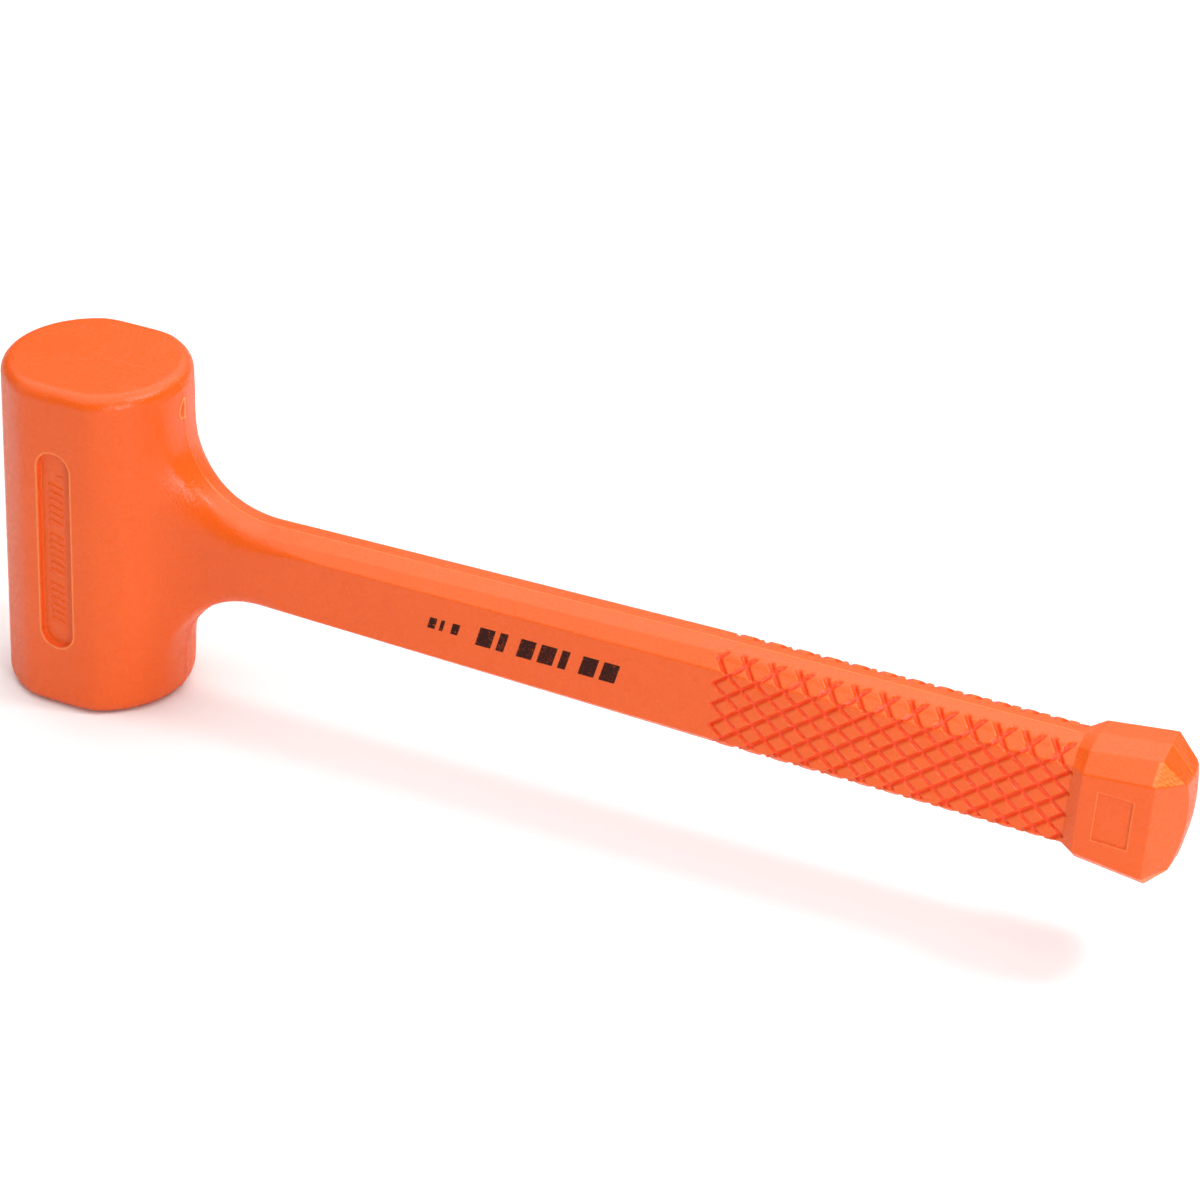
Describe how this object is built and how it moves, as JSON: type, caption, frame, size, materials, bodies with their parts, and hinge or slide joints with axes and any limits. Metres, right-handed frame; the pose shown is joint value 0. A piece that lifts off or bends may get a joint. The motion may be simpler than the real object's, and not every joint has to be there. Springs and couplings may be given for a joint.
{
  "type": "dead blow mallet",
  "caption": "One-piece cast urethane dead blow mallet with a flatted round head, knurled octagonal handle and loose steel shot sealed in a canister.",
  "frame": {"origin": "centre of the lower strike face", "axes": "+Z along the head from the lower to the upper strike face, +X along the handle towards the butt, Y across the mould's parting plane"},
  "size_m": [0.3512, 0.0512, 0.103],
  "materials": {
    "orange_urethane": "semi-gloss cast urethane, fine grained",
    "print_ink": "matte pad print",
    "canister_steel": "drawn steel tube",
    "rod_steel": "turned bar",
    "weld_metal": "weld bead",
    "shot_steel": "polished balls"
  },
  "bodies": {
    "mallet": {"casing": "orange_urethane", "printed_marks": "print_ink", "canister_tube": "canister_steel", "lower_cap": "canister_steel", "upper_cap": "canister_steel", "lower_cap_weld": "weld_metal", "upper_cap_weld": "weld_metal", "handle_rod": "rod_steel", "rod_weld": "weld_metal"},
    "shot_charge": {"steel_shot": "shot_steel"}
  },
  "joints": [
    {"name": "shot_slide", "type": "slide", "parent": "mallet", "child": "shot_charge", "axis": [0, 0, 1], "range_m": [0, 0.0248]}
  ]
}
